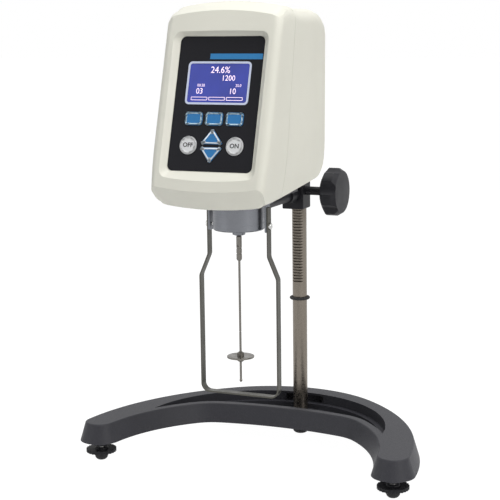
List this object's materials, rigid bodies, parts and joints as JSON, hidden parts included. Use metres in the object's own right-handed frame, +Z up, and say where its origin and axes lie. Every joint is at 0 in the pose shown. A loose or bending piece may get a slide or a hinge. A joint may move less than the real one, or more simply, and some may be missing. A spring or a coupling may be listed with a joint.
{
  "type": "rotational viscometer",
  "caption": "Benchtop digital rotational viscometer with display and keypad, geared height stand, guard leg and disc spindle",
  "frame": {"origin": "Centre of the rear foot's underside on the bench, on the axis of the upright rod; +X is the user's right, -Y faces the user, +Z is up", "axes": "+X across the stand towards the height knob, -Y towards the display and the user, +Z up along the upright rod"},
  "size_m": [0.3644, 0.2811, 0.4736],
  "materials": {
    "coated_casting": "fine-textured charcoal powder coat",
    "clamp_black": "satin black anodised coat",
    "housing_plastic": "fine-textured off-white moulding",
    "stainless": "ground stainless steel",
    "bright_steel": "polished steel",
    "cup_metal": "turned and clear anodised",
    "plain_aluminium": "milled",
    "cast_chassis": "black satin",
    "knob_plastic": "moulded with a slight sheen",
    "panel_black": "smooth black overlay",
    "key_blue": "light-edged blue key",
    "key_grey": "pale grey key",
    "bezel_silver": "pale display surround",
    "screen_blue": "lit blue screen behind glass",
    "black_plastic": "black moulding",
    "board_green": "lacquered circuit board",
    "foot_rubber": "black rubber",
    "bush_polymer": "natural nylon",
    "brass_part": "turned brass",
    "gear_polymer": "moulded acetal",
    "jewel": "synthetic ruby",
    "level_glass_mat": "yellow-green fluid behind glass"
  },
  "bodies": {
    "stand": {"base_casting": "coated_casting", "upright_rod": "stainless", "rod_nut": "bright_steel", "rear_foot": "foot_rubber", "rod_stop_ring": "foot_rubber"},
    "pad_left": {"foot_pad_left": "foot_rubber"},
    "pad_right": {"foot_pad_right": "foot_rubber"},
    "leveller_left": {"levelling_stud_left": "bright_steel", "levelling_knob_left": "knob_plastic"},
    "leveller_right": {"levelling_stud_right": "bright_steel", "levelling_knob_right": "knob_plastic"},
    "clamp": {"clamp_body": "clamp_black", "rod_bushes": "bush_polymer", "tension_insert": "bush_polymer"},
    "tension_knob": {"tension_screw": "knob_plastic"},
    "height_drive": {"pinion_shaft": "stainless", "height_knob": "knob_plastic", "retaining_ring": "bright_steel"},
    "lock_knob": {"head_lock_screw": "knob_plastic"},
    "head": {"front_bezel": "housing_plastic", "rear_cover": "housing_plastic", "keypad_panel": "panel_black", "display_frame": "bezel_silver", "display_glass": "screen_blue", "display_module": "black_plastic", "switch_board": "board_green", "main_board": "board_green", "spacer_posts": "plain_aluminium", "power_inlet": "black_plastic", "inlet_pins": "bright_steel", "switch_frame": "black_plastic", "data_port": "bright_steel", "level_cup": "cup_metal", "level_glass": "level_glass_mat", "chassis_casting": "cast_chassis", "case_screws": "bright_steel", "head_rod": "stainless", "shaft_bearings": "bright_steel", "pivot_cup": "cup_metal", "guard_leg": "stainless", "guard_screws": "bright_steel", "jewel_bearing": "jewel", "motor_plate": "plain_aluminium", "motor": "black_plastic"},
    "drive": {"drive_shaft": "brass_part", "drive_gear": "gear_polymer", "hairspring": "bright_steel"},
    "motor_output": {"motor_pinion": "brass_part"},
    "spindle": {"pivot_shaft": "stainless", "spindle_hub": "stainless", "disc_spindle": "stainless"},
    "rocker": {"power_rocker": "black_plastic"},
    "key_soft_left_body": {"key_soft_left": "key_blue"},
    "key_soft_middle_body": {"key_soft_middle": "key_blue"},
    "key_soft_right_body": {"key_soft_right": "key_blue"},
    "key_arrow_up_body": {"key_arrow_up": "key_blue"},
    "key_arrow_down_body": {"key_arrow_down": "key_blue"},
    "key_round_left_body": {"key_round_left": "key_grey"},
    "key_round_right_body": {"key_round_right": "key_grey"}
  },
  "joints": [
    {"name": "foot_height_left", "type": "slide", "parent": "stand", "child": "pad_left", "axis": [0, 0, 1], "range_m": [-0.008, 0.002]},
    {"name": "foot_screw_left", "type": "hinge", "parent": "pad_left", "child": "leveller_left", "pos_m": [-0.1607, -0.1654, 0.0108], "axis": [0, 0, 1], "range_deg": [-2310, 580]},
    {"name": "foot_height_right", "type": "slide", "parent": "stand", "child": "pad_right", "axis": [0, 0, 1], "range_m": [-0.008, 0.002]},
    {"name": "foot_screw_right", "type": "hinge", "parent": "pad_right", "child": "leveller_right", "pos_m": [0.1607, -0.1654, 0.0108], "axis": [0, 0, 1], "range_deg": [-2310, 580]},
    {"name": "height_travel", "type": "slide", "parent": "stand", "child": "clamp", "axis": [0, 0, 1], "range_m": [-0.08, 0.06]},
    {"name": "height_knob_turn", "type": "hinge", "parent": "clamp", "child": "height_drive", "pos_m": [0.044, -0.011, 0.2736], "axis": [1, 0, 0], "range_deg": [-690, 920]},
    {"name": "head_roll", "type": "hinge", "parent": "clamp", "child": "head", "pos_m": [0, -0.03, 0.27], "axis": [0, 1, 0], "range_deg": [-10, 10]},
    {"name": "head_lock_turn", "type": "hinge", "parent": "clamp", "child": "lock_knob", "pos_m": [0, -0.03, 0.2854], "axis": [0, 0, 1], "range_deg": [0, 360]},
    {"name": "tension_turn", "type": "hinge", "parent": "clamp", "child": "tension_knob", "pos_m": [-0.018, 0, 0.297], "axis": [-1, 0, 0], "range_deg": [0, 180]},
    {"name": "drive_rotation", "type": "hinge", "parent": "head", "child": "drive", "pos_m": [0, -0.1615, 0.315], "axis": [0, 0, 1], "continuous": true},
    {"name": "motor_rotation", "type": "hinge", "parent": "head", "child": "motor_output", "pos_m": [0, -0.1314, 0.315], "axis": [0, 0, 1], "continuous": true},
    {"name": "spindle_deflection", "type": "hinge", "parent": "drive", "child": "spindle", "pos_m": [0, -0.1615, 0.2425], "axis": [0, 0, 1], "range_deg": [-85, 5], "stiffness_Nm_per_rad": 0.00048},
    {"name": "key_soft_left_press", "type": "slide", "parent": "head", "child": "key_soft_left_body", "axis": [0, 0.9563, -0.2924], "range_m": [0, 0.0006], "stiffness_N_per_m": 1500},
    {"name": "key_soft_middle_press", "type": "slide", "parent": "head", "child": "key_soft_middle_body", "axis": [0, 0.9563, -0.2924], "range_m": [0, 0.0006], "stiffness_N_per_m": 1500},
    {"name": "key_soft_right_press", "type": "slide", "parent": "head", "child": "key_soft_right_body", "axis": [0, 0.9563, -0.2924], "range_m": [0, 0.0006], "stiffness_N_per_m": 1500},
    {"name": "key_arrow_up_press", "type": "slide", "parent": "head", "child": "key_arrow_up_body", "axis": [0, 0.9563, -0.2924], "range_m": [0, 0.0006], "stiffness_N_per_m": 1500},
    {"name": "key_arrow_down_press", "type": "slide", "parent": "head", "child": "key_arrow_down_body", "axis": [0, 0.9563, -0.2924], "range_m": [0, 0.0006], "stiffness_N_per_m": 1500},
    {"name": "key_round_left_press", "type": "slide", "parent": "head", "child": "key_round_left_body", "axis": [0, 0.9563, -0.2924], "range_m": [0, 0.0006], "stiffness_N_per_m": 1500},
    {"name": "key_round_right_press", "type": "slide", "parent": "head", "child": "key_round_right_body", "axis": [0, 0.9563, -0.2924], "range_m": [0, 0.0006], "stiffness_N_per_m": 1500},
    {"name": "power_rocker_tilt", "type": "hinge", "parent": "head", "child": "rocker", "pos_m": [0.031, -0.06538, 0.338], "axis": [1, 0, 0], "range_deg": [0, 17]}
  ],
  "couplings": [
    {"joint": "foot_screw_left", "follows": "foot_height_left", "rad_per_m": 5026.5},
    {"joint": "foot_screw_right", "follows": "foot_height_right", "rad_per_m": 5026.5},
    {"joint": "height_knob_turn", "follows": "height_travel", "rad_per_m": -200},
    {"joint": "motor_rotation", "follows": "drive_rotation", "ratio": -4}
  ]
}
